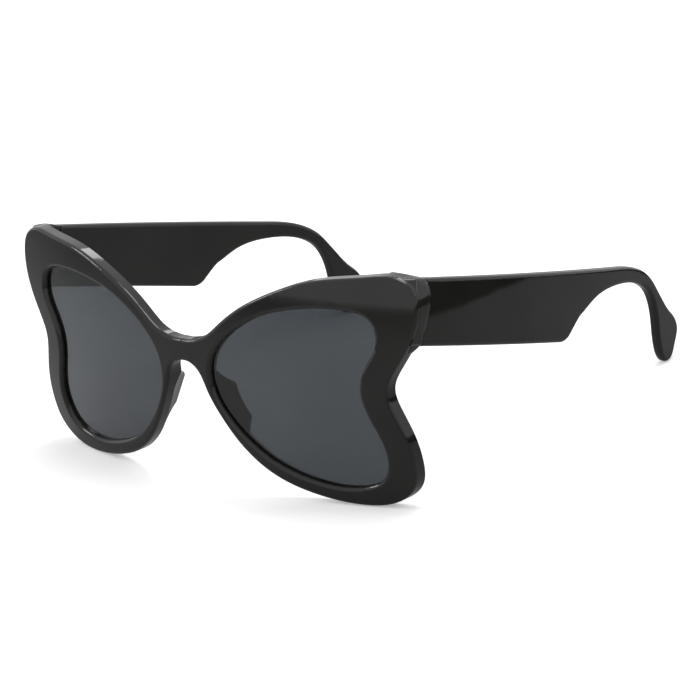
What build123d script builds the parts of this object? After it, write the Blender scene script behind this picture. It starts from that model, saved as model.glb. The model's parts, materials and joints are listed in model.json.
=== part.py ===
# Butterfly sunglasses: a moulded front with two tinted lenses, two broad temples,
# and at each corner a metal hinge of two leaves turning on a screw.
# Millimetres. The glasses stand open on a level surface, on the lower rims and the temple tips:
# X to the right of someone facing them, Y back towards the temple tips, Z up.
from build123d import *
import math
import os

os.makedirs("parts", exist_ok=True)

# Moulded front, in its own upright frame: the mirror plane is X = 0, and the front face of the
# bridge is at Y = 0, Z = 0
front_half_width = 71.0
front_height = 61.9
across_radius = 211.0        # curve of the front from side to side
upright_radius = 149.0       # curve of the front from brow to cheek
rim_depth = 3.5
outer_edge_round = 0.9
opening_edge_round = 1.1
rim_flat = 0.05              # left between the two rounds where the rim is narrowest

# Right half of the outline, from the top of the bridge round to its underside:
# shares of the half width and of the height
outline_shares = [
    (0, 0.047), (0.065, 0.053), (0.121, 0.076), (0.186, 0.131), (0.275, 0.204), (0.415, 0.283),
    (0.605, 0.35), (0.803, 0.375), (0.93, 0.372), (0.987, 0.323), (1, 0.242), (0.974, 0.124),
    (0.907, -0.006), (0.871, -0.097), (0.885, -0.183), (0.917, -0.295), (0.929, -0.41),
    (0.909, -0.522), (0.833, -0.597), (0.682, -0.625), (0.506, -0.596), (0.351, -0.53),
    (0.232, -0.418), (0.149, -0.281), (0.099, -0.166), (0.072, -0.092), (0.041, -0.06), (0, -0.05),
]

# Lens opening in the right half, once round from its top
opening_shares = [
    (0.627, 0.236), (0.739, 0.231), (0.82, 0.192), (0.837, 0.103), (0.792, 0.003),
    (0.763, -0.1), (0.777, -0.197), (0.811, -0.3), (0.824, -0.407), (0.792, -0.494),
    (0.711, -0.538), (0.599, -0.546), (0.472, -0.517), (0.351, -0.459), (0.246, -0.363),
    (0.169, -0.254), (0.131, -0.144), (0.137, -0.042), (0.2, 0.061), (0.289, 0.136),
    (0.394, 0.191), (0.507, 0.221),
]

# Tinted lens and the groove that holds it
lens_thickness = 1.3
lens_recess = 1.4            # front face of the rim to front face of the lens
lens_edge_in_groove = 0.8
lens_clearance = 0.04

# Nose pads moulded on the back of the rims
pad_height = 31.0
pad_reach = 8.7              # front face of the front to the crest of the pad
pad_root_width = 3.6
pad_crest_height = 10.0
pad_crest_width = 1.9
pad_lean = 28.0              # degrees that a pad leans out from upright
pad_centre_shares = (0.159, -0.26)  # of the half width and the height
pad_crest_shift = 0.9        # the crest stands out from the nose by this
pad_crest_rise = 1.6
pad_round = 0.7              # or less where its ends fall too gently for it
pad_round_room_share = 1.115     # of the crest's width, times the fall of the pad's ends
pad_section_shares = (0, 0.3, 0.65, 1)   # of the way from the root to the crest

# End pieces, which carry the hinges, and the drop of the temples
temple_drop = 13.4           # degrees from square to the front
hinge_height_share = 0.218   # middle of the hinge above the bridge, of the front's height
end_piece_depth = 5.7        # front face to the face that the temple meets
end_piece_half_height = 8.9
end_piece_width = 9.6        # in from the widest point of the front
end_piece_round = 0.8
end_piece_slant = (2.6, 3.3)     # cut off its lower inner corner, for a folded temple's tip
end_piece_fall = 12.0        # degrees that its top falls towards the temple's, which it meets flush
temple_step = 1.6            # temple's outer face in from the widest point of the front

# Temples, in their own frame: Y along the temple from the hinge, Z up across it
temple_thickness = 3.5
temple_splay = 4.05          # degrees that an open temple spreads
temple_bow_radius = 385.0    # curve of the temple towards the head
temple_bow_length = 86.0     # the rest, behind the ear, is straight in plan
temple_length = 125.6        # hinge to the end of the tip
temple_tip_thickness = 2.7
temple_front_height = 17.0
temple_round = 1.0
stop_gap = 0.1               # open temple to the end piece

# Top edge from where it starts to fall, round the tip, and back along the underside to the
# lower corner of the broad part: shares of the temple's length and of its front height
temple_ear_shares = [
    (0.677, 0.524), (0.747, 0.51), (0.797, 0.437), (0.838, 0.305), (0.868, 0.14),
    (0.898, -0.04), (0.935, -0.24), (0.967, -0.385), (0.983, -0.57), (0.977, -0.82),
    (0.966, -1.03), (0.946, -1.11), (0.923, -1.05), (0.902, -0.85), (0.888, -0.6),
    (0.876, -0.35), (0.858, -0.11), (0.833, 0.08), (0.797, 0.2), (0.746, 0.256),
    (0.688, 0.24), (0.631, 0.166), (0.582, 0.024), (0.541, -0.165),
]
temple_heel_shares = ((0.509, -0.38), (0.483, -0.595))     # lower corner of the broad part
temple_heel_round = 5.5

# Hinges
barrel_radius = 1.7
barrel_height = 7.4
middle_knuckle_height = 2.5
knuckle_gap = 0.1
barrel_clearance = 0.15      # barrel to the temple's inner face
screw_radius = 0.65
screw_clearance = 0.05
screw_head_radius = 1.25
screw_head_height = 0.6
screw_slot_width = 0.3
screw_slot_depth = 0.3
relief_depth = 2.1           # pocket in the end piece, in front of the barrel
relief_half_height = 4.7
leaf_thickness = 0.9
leaf_clearance = 0.04
front_leaf_width = 3.9
front_web_half_width = 1.1
front_anchor = (2.2, 1.5, 4.0)       # width, depth and height
temple_leaf_start = 1.3
temple_leaf_length = 9.2
temple_leaf_height = 7.2
temple_leaf_proud = 0.3
temple_anchor = (1.3, 3.6, 3.4)      # depth, length and height

overrun = 5.0                # how far cutting solids run past what they cut

# Places worked out from the sizes above
hinge_z = hinge_height_share * front_height
end_piece_inner_x = front_half_width - end_piece_width
temple_outer_x = front_half_width - temple_step
hinge_x = temple_outer_x - temple_thickness - barrel_clearance - barrel_radius
face_in = barrel_radius + barrel_clearance       # hinge axis to the temple's inner face


def front_y(x, z, depth=0):
    """Y of the curved front at a place, or of the layer that lies a depth behind it."""
    along = upright_radius - math.sqrt((upright_radius - depth) ** 2 - z ** 2)
    return across_radius - math.sqrt((across_radius - along) ** 2 - x ** 2)


meeting_y = front_y(temple_outer_x, hinge_z) + end_piece_depth


def place(shape):
    """From the hinge frame of the right-hand corner to the frame of the front."""
    return Pos(0, meeting_y, hinge_z) * Rot(-temple_drop, 0, 0) * shape


def block(low_x, high_x, low_y, high_y, low_z, high_z):
    centre = Pos((low_x + high_x) / 2, (low_y + high_y) / 2, (low_z + high_z) / 2)
    return centre * Box(high_x - low_x, high_y - low_y, high_z - low_z)


def layer(near, far):
    """What lies between two depths behind the curved front."""
    upright_reach = math.degrees(math.asin(front_height / upright_radius))
    across_reach = math.degrees(math.asin((front_half_width + overrun) / across_radius)) + 2
    centre = (upright_radius, 0)
    front_arc = CenterArc(centre, upright_radius - near, 180 - upright_reach, 2 * upright_reach)
    back_arc = CenterArc(centre, upright_radius - far, 180 - upright_reach, 2 * upright_reach)
    ends = [Line(front_arc @ 0, back_arc @ 0), Line(front_arc @ 1, back_arc @ 1)]
    section = Plane.YZ * make_face([front_arc, back_arc] + ends)
    turning_axis = Axis((0, across_radius, 0), (0, 0, 1))
    swept = revolve(section, turning_axis, 2 * across_reach)
    return swept.rotate(turning_axis, -across_reach)


def behind_outline(loop):
    """Everything straight behind a closed line drawn in front of the glasses."""
    return extrude(Face(Wire([loop])), amount=front_half_width, dir=(0, 1, 0)).solid()


def front_points(shares):
    return [Vector(a * front_half_width, -overrun, b * front_height) for a, b in shares]


def outline_loop():
    right = front_points(outline_shares)
    left = [Vector(-point.X, point.Y, point.Z) for point in reversed(right[1:-1])]
    return Spline(*right, *left, periodic=True).edge()


def opening_loop(growth=0, stations=48):
    """The lens opening of the right half, or a line that runs a growth outside it."""
    loop = Spline(*front_points(opening_shares), periodic=True).edge()
    if growth == 0:
        return loop
    grown = []
    for station in range(stations):
        tangent = loop % (station / stations)
        grown.append(loop @ (station / stations) + Vector(-tangent.Z, 0, tangent.X) * growth)
    return Spline(*grown, periodic=True).edge()


def both_sides(shape):
    return [shape, mirror(shape, Plane.YZ)]


def curved_front(solid):
    """The front face of a solid cut from the curved layers."""
    faces = [face for face in solid.faces() if face.geom_type == GeomType.REVOLUTION]
    return min(faces, key=lambda face: max(corner.Y - front_y(corner.X, corner.Z)
                                           for corner in face.vertices()))


def meeting_face(solid):
    """The flat face of an end piece that the temple meets."""
    faces = [face for face in solid.faces().filter_by(GeomType.PLANE) if face.normal_at().Y > 0.5]
    return max(faces, key=lambda face: face.area)


def nose_pad():
    """The right-hand pad: rounded slots that shrink from the rim to the crest on the nose."""
    centre_x = pad_centre_shares[0] * front_half_width
    centre_z = pad_centre_shares[1] * front_height
    root_y = front_y(centre_x, centre_z) + rim_depth / 2
    crest_y = front_y(centre_x, centre_z) + pad_reach
    slots = []
    for share in pad_section_shares:
        swell = (1 - share) ** 1.5
        length = pad_crest_height + (pad_height - pad_crest_height) * swell
        width = pad_crest_width + (pad_root_width - pad_crest_width) * swell
        centre = (centre_x + pad_crest_shift * share, root_y + (crest_y - root_y) * share,
                  centre_z + pad_crest_rise * share)
        lie = Plane(origin=centre, x_dir=(1, 0, 0), z_dir=(0, -1, 0))
        slots.append(lie * Rot(0, 0, 90 + pad_lean) * SlotOverall(length, width))
    solid = loft([slot.face() for slot in slots]).solid()
    crest = max(solid.faces().filter_by(GeomType.PLANE), key=lambda face: face.center().Y)
    fall = (crest_y - root_y) / (pad_height - pad_crest_height)
    room = pad_round_room_share * pad_crest_width * fall
    return solid.fillet(min(pad_round, room), crest.edges())


def front_leaf_blocks(growth=0):
    """Plate and anchor of the front leaf, grown by a clearance where they cut their pocket."""
    floor = -relief_depth
    back = floor - leaf_thickness
    half_width = front_leaf_width / 2 + growth
    half_height = barrel_height / 2 + growth
    plate = block(hinge_x - half_width, hinge_x + half_width, back - growth, floor,
                  -half_height, half_height)
    width, depth, height = front_anchor
    anchor = block(hinge_x - width / 2 - growth, hinge_x + width / 2 + growth,
                   back - depth - growth, floor, -height / 2 - growth, height / 2 + growth)
    return plate + anchor


def knuckle(low_z, high_z):
    ring = Pos(hinge_x, 0, (low_z + high_z) / 2) * Cylinder(barrel_radius, high_z - low_z)
    return ring


def screw_hole(radius):
    return Pos(hinge_x, 0, 0) * Cylinder(radius, barrel_height + 2 * overrun)


def front_leaf():
    leaf = front_leaf_blocks()
    low = middle_knuckle_height / 2 + knuckle_gap
    high = barrel_height / 2
    for bottom, top in ((low, high), (-high, -low)):
        web = block(hinge_x - front_web_half_width, hinge_x + front_web_half_width,
                    -relief_depth - leaf_thickness / 2, 0, bottom, top)
        leaf = leaf + knuckle(bottom, top) + web
    return leaf - screw_hole(screw_radius + screw_clearance)


def temple_frame(shape):
    """From an open temple's own frame, which starts at the hinge axis, to the hinge frame."""
    return Pos(hinge_x, 0, 0) * Rot(0, 0, -temple_splay) * shape


def temple_leaf_blocks(growth=0):
    """Plate and anchor of the temple leaf in the temple's own frame."""
    start = temple_leaf_start - growth
    end = temple_leaf_start + temple_leaf_length + growth
    half_height = temple_leaf_height / 2 + growth
    outside = face_in - temple_leaf_proud
    inside = outside + leaf_thickness + growth
    plate = block(outside, inside, start, end, -half_height, half_height)
    depth, length, height = temple_anchor
    middle = temple_leaf_start + 2 * temple_leaf_length / 3
    anchor = block(outside, inside + depth, middle - length / 2 - growth,
                   middle + length / 2 + growth, -height / 2 - growth, height / 2 + growth)
    return plate + anchor


def temple_leaf():
    leaf = temple_frame(temple_leaf_blocks())
    high = middle_knuckle_height / 2
    web = temple_frame(block(screw_radius, face_in - temple_leaf_proud + leaf_thickness / 2,
                             0, temple_leaf_start + leaf_thickness, -high, high))
    leaf = leaf + knuckle(-high, high) + web
    return leaf - screw_hole(screw_radius + screw_clearance)


def temple_side():
    """Side view of a temple on the plane of its own Y and Z."""
    length, height = temple_length, temple_front_height
    ear = [(a * length, b * height) for a, b in temple_ear_shares]
    corner, heel = [(a * length, b * height) for a, b in temple_heel_shares]
    top = Line((-overrun, height / 2), ear[0])
    heel_line = Line(corner, heel)
    ear_line = Spline(*ear, corner, tangents=[top % 1, heel_line % 0])
    under = Line(heel, (-overrun, -height / 2))
    side = make_face([top, ear_line, heel_line, under, Line(under @ 1, top @ 0)])
    heel_vertex = side.vertices().sort_by_distance((heel[0], heel[1], 0))[0]
    return Plane.YZ * fillet(heel_vertex, temple_heel_round)


def temple_plan():
    """Plan of a temple on the plane of its own X and Y: straight, bowed inwards, straight."""
    centre = (face_in + temple_thickness - temple_bow_radius, 0)
    turn = math.degrees(temple_bow_length / temple_bow_radius)
    taper = math.degrees(math.atan2(temple_thickness - temple_tip_thickness,
                                    temple_length - temple_bow_length))
    runs = []
    for radius, narrowing in ((temple_bow_radius, 0), (temple_bow_radius - temple_thickness, taper)):
        bow = CenterArc(centre, radius, 0, turn)
        lead = Line((bow @ 0) - Vector(0, 2 * overrun), bow @ 0)
        tail = PolarLine(bow @ 1, temple_length - temple_bow_length + overrun, turn + 90 - narrowing)
        runs.append([lead, bow, tail])
    outer, inner = runs
    caps = [Line(outer[0] @ 0, inner[0] @ 0), Line(outer[2] @ 1, inner[2] @ 1)]
    return make_face(outer + inner + caps)


def temple():
    """A temple in its own frame, without its front end, and with its long edges rounded."""
    side = extrude(temple_side(), amount=temple_length / 2, both=True)
    solid = (side & extrude(temple_plan(), amount=temple_length / 2, both=True)).solid()
    walls = []
    broad = []
    for face in solid.faces():
        if abs(face.normal_at().X) > 0.5:
            broad.append(face)
        elif face.center().Y > 0:
            walls.append(face)
    wall_edges = [edge for face in walls for edge in face.edges()]
    outline = [edge for face in broad for edge in face.edges() if edge in wall_edges]
    return solid.fillet(temple_round, outline)


def lens_solid(growth, clearance):
    """The lens of the right half, or its groove where a clearance is given."""
    edge = behind_outline(opening_loop(growth + clearance))
    return (edge & layer(lens_recess - clearance, lens_recess + lens_thickness + clearance)).solid()


def relief():
    """Pocket in the end piece for the barrel and the front leaf."""
    slot = block(end_piece_inner_x - overrun, hinge_x + face_in + barrel_clearance,
                 -relief_depth, overrun, -relief_half_height, relief_half_height)
    return place(slot + front_leaf_blocks(leaf_clearance))


def end_piece_room():
    """Where an end piece may stand behind the rim: in front of the temple, under a plane that
    falls to the temple's top edge, and clear of the other temple's tip when that is folded."""
    reach = front_half_width + overrun
    inner, low = end_piece_inner_x, -end_piece_half_height
    slant_width, slant_height = end_piece_slant
    flush = temple_front_height / 2
    rise = reach * math.tan(math.radians(end_piece_fall))
    side = Polyline((0, -reach), (0, flush), (-reach, flush + rise), (-reach, -reach), close=True)
    front = Polyline((inner, reach), (reach, reach), (reach, low), (inner + slant_width, low),
                     (inner, low + slant_height), close=True)
    room = extrude(Plane.YZ * make_face(side), amount=reach)
    return place(room & extrude(Plane.XZ * make_face(front), amount=reach))


def cheek():
    """Outer part of an end piece, as tall as the temple that it meets."""
    half_height = temple_front_height / 2
    solid = block(hinge_x + face_in, temple_outer_x, -(end_piece_depth - rim_depth / 2), 0,
                  -half_height, half_height)
    outer_edges = solid.edges().filter_by(Axis.Y).sort_by(Axis.X)[-2:]
    return place(solid.fillet(temple_round, outer_edges))


def half_front():
    """The right half of the moulding: bridge, rim, end piece and nose pad."""
    width = front_half_width + overrun
    depth = 4 * rim_depth
    half = block(0, width, -2 * overrun, width, -front_height, front_height)
    behind_rim = layer(rim_depth, depth + overrun) - end_piece_room() - nose_pad()
    solid = (behind_outline(outline_loop()) & half & layer(0, depth)) - behind_rim
    solid = (solid + cheek()) - behind_outline(opening_loop())
    solid = (solid - lens_solid(lens_edge_in_groove, lens_clearance)).solid()
    inner_edge = meeting_face(solid).edges().sort_by(Axis.X)[0]
    solid = solid.fillet(end_piece_round, [inner_edge])
    outer_edges = curved_front(solid).outer_wire().edges()
    solid = solid.fillet(outer_edge_round, [edge for edge in outer_edges if edge.center().X > rim_depth])
    opening_edges = curved_front(solid).inner_wires()[0].edges()
    room = outline_loop().distance_to(opening_loop()) - outer_edge_round - rim_flat
    solid = solid.fillet(min(opening_edge_round, room), opening_edges)
    return (solid - relief()).solid()


def front_frame():
    right, left = both_sides(half_front())
    return (right + left).solid()


def fitted_temple():
    """An open temple in the hinge frame, cut off at the stop and pocketed for its leaf."""
    solid = temple_frame(temple())
    reach = temple_length
    solid = solid & block(-reach, reach, stop_gap, 2 * reach, -reach, reach)
    web_room = block(0, face_in - temple_leaf_proud + leaf_thickness + leaf_clearance, -overrun,
                     temple_leaf_start + leaf_thickness, -middle_knuckle_height / 2 - knuckle_gap,
                     middle_knuckle_height / 2 + knuckle_gap)
    return (solid - temple_frame(temple_leaf_blocks(leaf_clearance) + web_room)).solid()


def hinge_screw():
    """Screw with a slotted head that bears on the top knuckle."""
    high = barrel_height / 2
    shank = Pos(hinge_x, 0, 0) * Cylinder(screw_radius, barrel_height)
    head = Pos(hinge_x, 0, high + screw_head_height / 2) * Cylinder(screw_head_radius, screw_head_height)
    slot = block(hinge_x - 2 * screw_head_radius, hinge_x + 2 * screw_head_radius,
                 -screw_slot_width / 2, screw_slot_width / 2,
                 high + screw_head_height - screw_slot_depth, high + overrun)
    return shank + head - slot


def lowest(shape, angle):
    return shape.rotate(Axis.X, angle).bounding_box().min.Z


def resting_angle(front, arm):
    """Degrees to turn about X so that the front and the temple tips are equally low."""
    low, high = -temple_drop, temple_drop
    for step in range(24):
        angle = (low + high) / 2
        if lowest(arm, angle) > lowest(front, angle):
            high = angle
        else:
            low = angle
    return angle


front = front_frame()
right_pieces = {
    "lens": lens_solid(lens_edge_in_groove, 0),
    "temple": place(fitted_temple()),
    "front_hinge": place(front_leaf()),
    "temple_hinge": place(temple_leaf()),
    "screw": place(hinge_screw()),
}

# Resting pose: lower rims and temple tips on Z = 0, the box of the whole centred on X = Y = 0
angle = resting_angle(front, right_pieces["temple"])
front_box = front.rotate(Axis.X, angle).bounding_box()
temple_box = right_pieces["temple"].rotate(Axis.X, angle).bounding_box()
shift = (0, -(front_box.min.Y + temple_box.max.Y) / 2, -min(front_box.min.Z, temple_box.min.Z))


def rest(shape):
    return Pos(*shift) * shape.rotate(Axis.X, angle)


export_step(rest(front), "parts/front_frame.step")
for name in ("lens", "temple", "front_hinge", "temple_hinge"):
    for side, shape in zip(("left", "right"), both_sides(right_pieces[name])):
        export_step(rest(shape), f"parts/{name}_{side}.step")
export_step(Compound([rest(screw) for screw in both_sides(right_pieces["screw"])]),
            "parts/hinge_screws.step")

hinge_point = rest(place(Pos(hinge_x, 0, 0) * Sphere(screw_radius))).center()
tilt = math.radians(temple_drop - angle)
print("turned about X by", round(angle, 4), "degrees, moved by", [round(v, 4) for v in shift])
print("left hinge axis through", [round(v, 4) for v in hinge_point], "along",
      [0, round(math.sin(tilt), 6), round(math.cos(tilt), 6)])
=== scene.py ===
# Butterfly sunglasses: polished black moulding, dark tinted lenses and small metal hinges,
# standing open on a pale studio floor.
import json
import math
import bmesh
import bpy
from mathutils import Matrix, Vector


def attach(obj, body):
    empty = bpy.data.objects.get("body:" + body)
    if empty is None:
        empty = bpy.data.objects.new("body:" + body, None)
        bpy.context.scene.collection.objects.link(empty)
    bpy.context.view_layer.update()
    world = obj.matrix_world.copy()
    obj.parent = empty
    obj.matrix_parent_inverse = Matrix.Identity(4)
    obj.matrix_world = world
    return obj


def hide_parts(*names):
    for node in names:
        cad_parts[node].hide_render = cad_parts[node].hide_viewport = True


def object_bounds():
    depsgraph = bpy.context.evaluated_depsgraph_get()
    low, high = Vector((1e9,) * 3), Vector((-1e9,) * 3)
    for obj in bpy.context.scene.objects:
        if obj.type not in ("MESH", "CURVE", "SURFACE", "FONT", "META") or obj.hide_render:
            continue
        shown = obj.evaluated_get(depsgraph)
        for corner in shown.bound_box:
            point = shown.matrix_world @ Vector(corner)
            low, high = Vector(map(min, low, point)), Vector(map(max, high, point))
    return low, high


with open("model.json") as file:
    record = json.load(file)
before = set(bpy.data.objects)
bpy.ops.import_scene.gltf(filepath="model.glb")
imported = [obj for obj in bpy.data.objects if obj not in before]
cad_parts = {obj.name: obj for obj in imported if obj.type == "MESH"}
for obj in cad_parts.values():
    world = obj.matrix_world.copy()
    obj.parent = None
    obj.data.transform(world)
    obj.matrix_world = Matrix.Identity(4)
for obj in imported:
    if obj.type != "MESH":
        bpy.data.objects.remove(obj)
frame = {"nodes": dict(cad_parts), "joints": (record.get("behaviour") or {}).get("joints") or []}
cadLow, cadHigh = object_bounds()
mm = 0.001
mergeGap = 0.001 * mm            # corners closer than this are one
print("frame loaded")


# helpers for node materials

def newMaterial(name):
    material = bpy.data.materials.new(name)
    material.use_nodes = True
    nodes = material.node_tree.nodes
    return material, nodes, material.node_tree.links, nodes["Principled BSDF"]


def objectPoint(nodes):
    return nodes.new("ShaderNodeTexCoord").outputs["Object"]


def noise(nodes, links, point, scale, detail, roughness=0.5):
    node = nodes.new("ShaderNodeTexNoise")
    node.inputs["Scale"].default_value = scale
    node.inputs["Detail"].default_value = detail
    node.inputs["Roughness"].default_value = roughness
    links.new(point, node.inputs["Vector"])
    return node.outputs["Fac"]


def ramp(nodes, links, source, stops):
    node = nodes.new("ShaderNodeValToRGB")
    elements = node.color_ramp.elements
    for element, (place, colour) in zip(elements, (stops[0], stops[-1])):
        element.position = place
        element.color = (*colour, 1)
    for place, colour in stops[1:-1]:
        elements.new(place).color = (*colour, 1)
    links.new(source, node.inputs["Fac"])
    return node.outputs["Color"]


def greyRamp(nodes, links, source, levels):
    return ramp(nodes, links, source, [(place, (level,) * 3) for place, level in levels])


def spread(nodes, links, source, low, high):
    node = nodes.new("ShaderNodeMapRange")
    node.inputs["To Min"].default_value = low
    node.inputs["To Max"].default_value = high
    links.new(source, node.inputs["Value"])
    return node.outputs["Result"]


def bump(nodes, links, source, distance):
    node = nodes.new("ShaderNodeBump")
    node.inputs["Distance"].default_value = distance
    node.inputs["Strength"].default_value = 1.0
    links.new(source, node.inputs["Height"])
    return node.outputs["Normal"]


# materials

moulding = {
    "deep": (0.0085, 0.0088, 0.008),     # the resin's colour, with faint clouds in it
    "light": (0.0135, 0.0138, 0.0125),
    "cloudScale": 45.0,
    "cloudDetail": 4.0,
    "cloudRange": (0.35, 0.7),
    "smearScale": 120.0,         # where fingers have dulled the polish
    "smearDetail": 5.0,
    "smearRoughness": 0.6,
    "polish": (0.02, 0.075),     # roughness where it is clean, and where it is smeared
    "orangePeelScale": 420.0,
    "orangePeelDetail": 1.0,
    "orangePeelDepth": 0.003 * mm,
    "specular": 0.38,
}


def mouldingMaterial():
    material, nodes, links, shader = newMaterial("polishedMoulding")
    point = objectPoint(nodes)
    cloud = noise(nodes, links, point, moulding["cloudScale"], moulding["cloudDetail"])
    colours = zip(moulding["cloudRange"], (moulding["deep"], moulding["light"]))
    links.new(ramp(nodes, links, cloud, list(colours)), shader.inputs["Base Color"])
    smear = noise(nodes, links, point, moulding["smearScale"], moulding["smearDetail"],
                  moulding["smearRoughness"])
    links.new(spread(nodes, links, smear, *moulding["polish"]), shader.inputs["Roughness"])
    peel = noise(nodes, links, point, moulding["orangePeelScale"], moulding["orangePeelDetail"])
    links.new(bump(nodes, links, peel, moulding["orangePeelDepth"]), shader.inputs["Normal"])
    shader.inputs["Specular IOR Level"].default_value = moulding["specular"]
    return material


tint = {
    "clear": (0.047, 0.053, 0.059),
    "dense": (0.039, 0.044, 0.05),
    "cloudScale": 30.0,
    "cloudDetail": 2.0,
    "cloudRange": (0.3, 0.7),
    "smearScale": 90.0,
    "smearDetail": 4.0,
    "polish": (0.0, 0.03),
    "refraction": 1.5,
}


def tintMaterial():
    material, nodes, links, shader = newMaterial("smokeTint")
    point = objectPoint(nodes)
    cloud = noise(nodes, links, point, tint["cloudScale"], tint["cloudDetail"])
    colours = zip(tint["cloudRange"], (tint["dense"], tint["clear"]))
    links.new(ramp(nodes, links, cloud, list(colours)), shader.inputs["Base Color"])
    smear = noise(nodes, links, point, tint["smearScale"], tint["smearDetail"])
    links.new(spread(nodes, links, smear, *tint["polish"]), shader.inputs["Roughness"])
    shader.inputs["IOR"].default_value = tint["refraction"]
    shader.inputs["Transmission Weight"].default_value = 1.0
    return material


hingeMetal = {
    "bright": (0.62, 0.61, 0.59),
    "dull": (0.42, 0.42, 0.43),
    "grainScale": 260.0,
    "roughness": (0.22, 0.4),
    "grainDepth": 0.01 * mm,
}
screwMetal = {
    "bright": (0.72, 0.71, 0.7),
    "dull": (0.5, 0.5, 0.51),
    "grainScale": 500.0,
    "roughness": (0.12, 0.26),
    "grainDepth": 0.004 * mm,
}
grain = {                        # level brushed streaks
    "stretch": (1, 1, 14),
    "detail": 6.0,
    "roughness": 0.65,
    "range": (0.3, 0.65),
}


def metalMaterial(name, values):
    material, nodes, links, shader = newMaterial(name)
    point = objectPoint(nodes)
    stretch = nodes.new("ShaderNodeMapping")
    stretch.inputs["Scale"].default_value = grain["stretch"]
    links.new(point, stretch.inputs["Vector"])
    streaks = noise(nodes, links, stretch.outputs["Vector"], values["grainScale"], grain["detail"],
                    grain["roughness"])
    colours = zip(grain["range"], (values["dull"], values["bright"]))
    links.new(ramp(nodes, links, streaks, list(colours)), shader.inputs["Base Color"])
    links.new(spread(nodes, links, streaks, *values["roughness"]), shader.inputs["Roughness"])
    links.new(bump(nodes, links, streaks, values["grainDepth"]), shader.inputs["Normal"])
    shader.inputs["Metallic"].default_value = 1.0
    return material


black = mouldingMaterial()
smoke = tintMaterial()
satin = metalMaterial("satinMetal", hingeMetal)
brightMetal = metalMaterial("brightMetal", screwMetal)
print("materials made")


# finishes of the nodes that come from the solids

nodeFinish = {
    "front_frame": (black, "black_moulding"),
    "temple_left": (black, "black_moulding"),
    "temple_right": (black, "black_moulding"),
    "lens_left": (smoke, "lens_tint"),
    "lens_right": (smoke, "lens_tint"),
    "front_hinge_left": (satin, "hinge_metal"),
    "front_hinge_right": (satin, "hinge_metal"),
    "temple_hinge_left": (satin, "hinge_metal"),
    "temple_hinge_right": (satin, "hinge_metal"),
    "hinge_screws": (brightMetal, "screw_metal"),
}
for name, (material, slotName) in nodeFinish.items():
    node = frame["nodes"][name]
    node.data.materials.clear()
    node.data.materials.append(material)
print("nodes dressed")


# soft edges on the hinge leaves

leafEdges = {"width": 0.12 * mm, "segments": 2, "angle": 40.0}
for name, finish in nodeFinish.items():
    if finish[1] == "hinge_metal":
        soften = frame["nodes"][name].modifiers.new("softEdges", "BEVEL")
        soften.width = leafEdges["width"]
        soften.segments = leafEdges["segments"]
        soften.limit_method = "ANGLE"
        soften.angle_limit = math.radians(leafEdges["angle"])


# hinge screws, with domed and slotted heads

screw = {
    "reach": 3.7 * mm,           # hinge's middle to the face under the head
    "shank": 0.65 * mm,
    "pointBevel": 0.15 * mm,
    "headRound": 0.07 * mm,
    "slotFloor": 0.28 * mm,      # above the face under the head
    "slotWidth": 0.32 * mm,
    # radius, and height above the face under the head, from the slot's floor to the crown
    "dome": [(1.25 * mm, 0.28 * mm), (1.25 * mm, 0.36 * mm), (1.2 * mm, 0.44 * mm),
             (1.08 * mm, 0.51 * mm), (0.88 * mm, 0.56 * mm), (0.55 * mm, 0.595 * mm)],
    "steps": 48,
    "sharp": 32.0,               # edges past this angle stay sharp
    "slotTurns": (24.0, 105.0),
}


def lathe(bm, profile, steps):
    # turns a profile of radii and heights round Z
    corners = [bm.verts.new((radius, 0, height)) for radius, height in profile]
    line = [bm.edges.new(pair) for pair in zip(corners, corners[1:])]
    bmesh.ops.spin(bm, geom=corners + line, axis=(0, 0, 1), cent=(0, 0, 0),
                   angle=math.tau, steps=steps, use_merge=True)
    bmesh.ops.remove_doubles(bm, verts=bm.verts, dist=mergeGap)


def halfHead(side):
    # one half of the domed head, cut off at the slot's side
    bm = bmesh.new()
    dome = [(radius, screw["reach"] + height) for radius, height in screw["dome"]]
    lathe(bm, [(0, dome[0][1])] + dome + [(0, dome[-1][1])], screw["steps"])
    cut = bmesh.ops.bisect_plane(bm, geom=bm.verts[:] + bm.edges[:] + bm.faces[:],
                                 plane_co=(0, side * screw["slotWidth"] / 2, 0),
                                 plane_no=(0, side, 0), clear_inner=True)
    rim = [edge for edge in cut["geom_cut"] if isinstance(edge, bmesh.types.BMEdge)]
    bmesh.ops.holes_fill(bm, edges=rim)
    return bm


def hingeScrew(joint, slotTurn):
    low, shank, head = -screw["reach"], screw["shank"], screw["dome"][0][0]
    under, floor = screw["reach"], screw["reach"] + screw["slotFloor"]
    profile = [(0, low), (shank - screw["pointBevel"], low), (shank, low + screw["pointBevel"]),
               (shank, under), (head - screw["headRound"], under),
               (head, under + screw["headRound"]), (head, floor), (0, floor)]
    body = bmesh.new()
    lathe(body, profile, screw["steps"])
    parts = [body, halfHead(1), halfHead(-1)]
    up = Vector(joint["axis"])
    up = up if up.z > 0 else -up
    across = Vector((1, 0, 0))
    turn = Matrix((across, up.cross(across), up)).transposed().to_4x4()
    place = Matrix.Translation(Vector(joint["pos_m"])) @ turn
    for part in parts:
        part.transform(place @ Matrix.Rotation(math.radians(slotTurn), 4, "Z"))
    return parts


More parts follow.
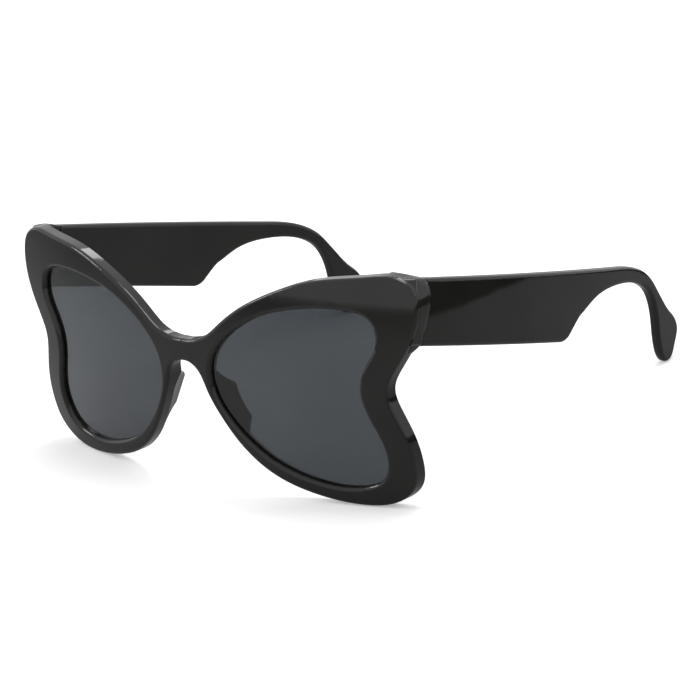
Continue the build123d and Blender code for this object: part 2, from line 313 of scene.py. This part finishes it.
def joinedPiece(name, parts, material, body, sharp):
    # one piece from several closed shapes, shaded smooth up to the sharp angle
    whole = bmesh.new()
    for part in parts:
        mesh = bpy.data.meshes.new("part")
        part.to_mesh(mesh)
        part.free()
        whole.from_mesh(mesh)
        bpy.data.meshes.remove(mesh)
    bmesh.ops.recalc_face_normals(whole, faces=whole.faces)
    for face in whole.faces:
        face.smooth = True
    for edge in whole.edges:
        edge.smooth = edge.is_manifold and edge.calc_face_angle() < math.radians(sharp)
    mesh = bpy.data.meshes.new(name)
    whole.to_mesh(mesh)
    whole.free()
    mesh.materials.append(material)
    piece = bpy.data.objects.new(name, mesh)
    bpy.context.scene.collection.objects.link(piece)
    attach(piece, body)
    return piece


screwParts = []
for joint, slotTurn in zip(frame["joints"], screw["slotTurns"]):
    screwParts += hingeScrew(joint, slotTurn)
screws = joinedPiece("slottedScrews", screwParts, brightMetal, "front", screw["sharp"])
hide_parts("hinge_screws")
print("screws made")


# fair skin over each end piece, from the rim's outline back to the temple

endPiece = {
    "acrossRadius": 211.0 * mm,      # curves of the front's face
    "uprightRadius": 149.0 * mm,
    "lean": -3.0335,                 # how the front leans, in degrees, and where its middle is
    "middle": (0, -67.5293 * mm, 39.4508 * mm),
    "behindFace": 1.0 * mm,          # the skin starts behind the rim's round
    "outerPart": (66.2 * mm, 41.5 * mm),     # from this X outwards, from this height up
    "upperPart": (60.0 * mm, 57.2 * mm),
    "seamRoom": 0.35 * mm,           # the skin ends before the temple's seam
    "grid": 0.2 * mm,                # of the even mesh, which is then smoothed and swelled
    "fairing": 14,
    "proud": 0.05 * mm,
    "sharp": 38.0,
}


def behindFace(point):
    # how far a point lies behind the curved face of the front
    upright = Matrix.Rotation(math.radians(-endPiece["lean"]), 3, "X")
    local = upright @ (point - Vector(endPiece["middle"]))
    across, tall = endPiece["acrossRadius"], endPiece["uprightRadius"]
    rise = tall - math.sqrt(tall ** 2 - local.z ** 2)
    return local.y - across + math.sqrt((across - rise) ** 2 - local.x ** 2)


def skinPart(side, place, back, nearest, lowest):
    # hull round the corners of the moulding out there, cut off before the seam
    bm = bmesh.new()
    for corner in frame["nodes"]["front_frame"].data.vertices:
        point = corner.co
        if side * point.x > nearest and point.z > lowest and behindFace(point) > endPiece["behindFace"]:
            bm.verts.new(point)
    hull = bmesh.ops.convex_hull(bm, input=bm.verts)
    spare = {v for v in hull["geom_interior"] + hull["geom_unused"] if isinstance(v, bmesh.types.BMVert)}
    bmesh.ops.delete(bm, geom=list(spare), context="VERTS")
    cut = bmesh.ops.bisect_plane(bm, geom=bm.verts[:] + bm.edges[:] + bm.faces[:],
                                 plane_co=place - endPiece["seamRoom"] * back, plane_no=back,
                                 clear_outer=True)
    rim = [edge for edge in cut["geom_cut"] if isinstance(edge, bmesh.types.BMEdge)]
    bmesh.ops.holes_fill(bm, edges=rim)
    return bm


def endPieceSkin(name, joint):
    place = Vector(joint["pos_m"])
    side = 1 if place.x > 0 else -1
    back = Vector(joint["axis"]).cross(Vector((side, 0, 0)))
    parts = [skinPart(side, place, back, *endPiece[part]) for part in ("outerPart", "upperPart")]
    skin = joinedPiece(name, parts, black, "front", endPiece["sharp"])
    even = skin.modifiers.new("evenGrid", "REMESH")
    even.mode = "VOXEL"
    even.voxel_size = endPiece["grid"]
    even.use_smooth_shade = True
    fair = skin.modifiers.new("fairing", "SMOOTH")
    fair.iterations = endPiece["fairing"]
    swell = skin.modifiers.new("proud", "DISPLACE")
    swell.mid_level = 0.0
    swell.strength = endPiece["proud"]


for name, joint in zip(("endPieceSkinLeft", "endPieceSkinRight"), frame["joints"]):
    endPieceSkin(name, joint)
print("end pieces skinned")


# floor and light

studio = {                       # lengths in metres
    "floorSize": 6.0,
    "floorColour": (0.9, 0.9, 0.9),
    "floorLift": (0.34, 0.5),    # added where the floor is looked at, so that it is white: near, far
    "floorReach": 1.2,           # how far out the floor still gets the lamps' light
    "skyLevel": 0.6,             # as a light, and white where it is looked at
    "white": 1.0,
    # the card is a sheet seen only in reflections: it paints dark reflections on the glossy parts
    "cardColour": (0.02, 0.02, 0.02),
    "cardReach": 0.9,            # from the middle to where the card is densest
    "cardMiddle": (-0.1, -0.15, 0),
    "cardDensity": [(0.0, 0.55), (0.12, 0.6), (0.3, 0.7), (0.45, 0.74), (1.0, 0.9)],
    "reflectedDarkSide": (1.0, 0.94, 0),      # the card is nearly black this way, beyond the edge
    "darkEdge": (0.24, 0.256),
    "darkStreaks": (18.0, 30.0, 0),
    "darkStreakDetail": 2.0,
    "darkStreakDepth": 0.03,
    "cardEnd": 3.0,              # the card thins out up to here, so that it has no edge
    "cardThinning": [(0.17, 1.0), (0.45, 0.7), (1.0, 0.0)],
    "cardSize": 6.5,
    "cardHeight": 0.0005,
}


def whenSeen(nodes, links):
    # 1 where the camera, a reflection or a lens looks, 0 where light is gathered
    path = nodes.new("ShaderNodeLightPath")
    total = path.outputs["Is Camera Ray"]
    for name in ("Is Glossy Ray", "Is Transmission Ray"):
        add = nodes.new("ShaderNodeMath")
        add.operation = "MAXIMUM"
        links.new(total, add.inputs[0])
        links.new(path.outputs[name], add.inputs[1])
        total = add.outputs["Value"]
    return total


def farFrom(nodes, links, middle, reach):
    # 0 at the middle, rising to 1 at the reach and beyond it
    place = nodes.new("ShaderNodeMapping")
    place.vector_type = "TEXTURE"
    place.inputs["Location"].default_value = middle
    place.inputs["Scale"].default_value = (reach,) * 3
    links.new(objectPoint(nodes), place.inputs["Vector"])
    fade = nodes.new("ShaderNodeTexGradient")
    fade.gradient_type = "SPHERICAL"
    links.new(place.outputs["Vector"], fade.inputs["Vector"])
    far = nodes.new("ShaderNodeMath")
    far.operation = "SUBTRACT"
    far.inputs[0].default_value = 1.0
    links.new(fade.outputs["Fac"], far.inputs[1])
    return far.outputs["Value"]


def makeWorld():
    world = bpy.data.worlds.new("studio")
    world.use_nodes = True
    nodes = world.node_tree.nodes
    links = world.node_tree.links
    background = nodes["Background"]
    background.inputs["Color"].default_value = (1, 1, 1, 1)
    level = spread(nodes, links, whenSeen(nodes, links), studio["skyLevel"], studio["white"])
    links.new(level, background.inputs["Strength"])
    bpy.context.scene.world = world


def mattSheet(name, size, height, materialName, colour):
    # a level square of the studio, in one matt colour
    bm = bmesh.new()
    bmesh.ops.create_grid(bm, x_segments=1, y_segments=1, size=size / 2)
    bmesh.ops.translate(bm, vec=(0, 0, height), verts=bm.verts)
    mesh = bpy.data.meshes.new(name)
    bm.to_mesh(mesh)
    bm.free()
    sheet = bpy.data.objects.new(name, mesh)
    bpy.context.scene.collection.objects.link(sheet)
    material, nodes, links, shader = newMaterial(materialName)
    shader.inputs["Base Color"].default_value = (*colour, 1)
    shader.inputs["Roughness"].default_value = 1.0
    shader.inputs["Specular IOR Level"].default_value = 0.0
    mesh.materials.append(material)
    return sheet, nodes, links, shader


def makeFloor():
    floor, nodes, links, shader = mattSheet("floor", studio["floorSize"], 0, "paleFloor",
                                            studio["floorColour"])
    shader.inputs["Emission Color"].default_value = (1, 1, 1, 1)
    far = farFrom(nodes, links, (0, 0, 0), studio["floorReach"])
    lift = nodes.new("ShaderNodeMath")
    lift.operation = "MULTIPLY"
    links.new(whenSeen(nodes, links), lift.inputs[0])
    links.new(spread(nodes, links, far, *studio["floorLift"]), lift.inputs[1])
    links.new(lift.outputs["Value"], shader.inputs["Emission Strength"])


def reflectedDarkSide(nodes, links):
    # 1 beyond a streaky straight edge, where the card paints a dark reflection: the painted dark band
    # along the temple's top
    point = objectPoint(nodes)
    along = nodes.new("ShaderNodeVectorMath")
    along.operation = "DOT_PRODUCT"
    along.inputs[1].default_value = studio["reflectedDarkSide"]
    links.new(point, along.inputs[0])
    stretch = nodes.new("ShaderNodeMapping")
    stretch.inputs["Scale"].default_value = studio["darkStreaks"]
    links.new(point, stretch.inputs["Vector"])
    streak = noise(nodes, links, stretch.outputs["Vector"], 1.0, studio["darkStreakDetail"])
    shift = nodes.new("ShaderNodeMath")
    shift.operation = "MULTIPLY_ADD"
    links.new(streak, shift.inputs[0])
    shift.inputs[1].default_value = studio["darkStreakDepth"]
    links.new(along.outputs["Value"], shift.inputs[2])
    edge = nodes.new("ShaderNodeMapRange")
    edge.interpolation_type = "SMOOTHSTEP"
    low, high = (v + studio["darkStreakDepth"] / 2 for v in studio["darkEdge"])
    edge.inputs["From Min"].default_value = low
    edge.inputs["From Max"].default_value = high
    links.new(shift.outputs["Value"], edge.inputs["Value"])
    return edge.outputs["Result"]


def makeCard():
    # grey card over the floor, seen only in reflections, where it paints dark reflections on the glossy
    # parts: denser away from the glasses, then thin
    card, nodes, links, shader = mattSheet("card", studio["cardSize"], studio["cardHeight"], "paintedReflectionCard",
                                           studio["cardColour"])
    near = farFrom(nodes, links, studio["cardMiddle"], studio["cardReach"])
    density = nodes.new("ShaderNodeMath")
    density.operation = "MAXIMUM"
    links.new(greyRamp(nodes, links, near, studio["cardDensity"]), density.inputs[0])
    links.new(reflectedDarkSide(nodes, links), density.inputs[1])
    out = farFrom(nodes, links, studio["cardMiddle"], studio["cardEnd"])
    thinned = nodes.new("ShaderNodeMath")
    thinned.operation = "MULTIPLY"
    links.new(density.outputs["Value"], thinned.inputs[0])
    links.new(greyRamp(nodes, links, out, studio["cardThinning"]), thinned.inputs[1])
    links.new(thinned.outputs["Value"], shader.inputs["Alpha"])
    card.visible_camera = False
    card.visible_diffuse = False
    card.visible_shadow = False
    card.visible_transmission = False


def makeLamp(name, place, target, size, watts):
    data = bpy.data.lights.new(name, "AREA")
    data.shape = "RECTANGLE"
    data.size, data.size_y = size
    data.energy = watts
    lamp = bpy.data.objects.new(name, data)
    bpy.context.scene.collection.objects.link(lamp)
    lamp.location = place
    lamp.rotation_euler = (Vector(target) - Vector(place)).to_track_quat("-Z", "Y").to_euler()


middle = (cadLow + cadHigh) / 2
lamps = [                        # name, place, width and height, watts
    ("overhead", (0.1, 0.15, 0.9), (0.5, 0.35), 3.0),
    ("frontLeft", (-0.8, -0.5, 0.6), (0.3, 0.3), 2.2),
    ("backStrip", (-0.1, 0.7, 0.62), (1.2, 0.08), 1.1),
    ("sideStrip", (0.75, 0.25, 0.5), (0.06, 0.5), 0.6),
]
makeWorld()
makeFloor()
makeCard()
for name, place, size, watts in lamps:
    makeLamp(name, place, middle, size, watts)
print("studio lit")


# camera

view = {
    "azimuth": 43.1859,          # degrees round the object, and above it
    "elevation": 18.7315,
    "roll": -7.4652,
    "distance": 0.803543,        # to the bridge, along the camera's axis
    "focalPixels": 3085.083,
    "imagePixels": 700,
    "bridgePixel": (180.4, 350.4),
    "bridgeBand": 0.6 * mm,      # corners this close to the middle make up the bridge
    "sensorWidth": 36.0,
    "clip": (0.05, 20),
}


def bridgePoint():
    # middle of the bridge's front face
    corners = [v.co for v in frame["nodes"]["front_frame"].data.vertices]
    points = [p for p in corners if abs(p.x) < view["bridgeBand"]]
    front = min(p.y for p in points)
    heights = [p.z for p in points]
    return Vector((0, front, (min(heights) + max(heights)) / 2))


def makeCamera():
    azimuth, elevation, roll = (math.radians(view[k]) for k in ("azimuth", "elevation", "roll"))
    back = Vector((math.sin(azimuth) * math.cos(elevation), -math.cos(azimuth) * math.cos(elevation),
                   math.sin(elevation)))
    level = Vector((math.cos(azimuth), math.sin(azimuth), 0))
    right = Matrix.Rotation(roll, 3, back) @ level
    up = back.cross(right)
    metresPerPixel = view["distance"] / view["focalPixels"]
    across, down = (p - view["imagePixels"] / 2 for p in view["bridgePixel"])
    place = bridgePoint() + (down * up - across * right) * metresPerPixel + view["distance"] * back
    data = bpy.data.cameras.new("camera")
    data.sensor_width = view["sensorWidth"]
    data.lens = view["focalPixels"] * view["sensorWidth"] / view["imagePixels"]
    data.clip_start, data.clip_end = view["clip"]
    camera = bpy.data.objects.new("camera", data)
    bpy.context.scene.collection.objects.link(camera)
    turn = Matrix((right, up, back)).transposed()
    camera.matrix_world = Matrix.Translation(place) @ turn.to_4x4()
    bpy.context.scene.camera = camera


makeCamera()
bpy.context.scene.view_settings.view_transform = "Standard"
print("camera set")
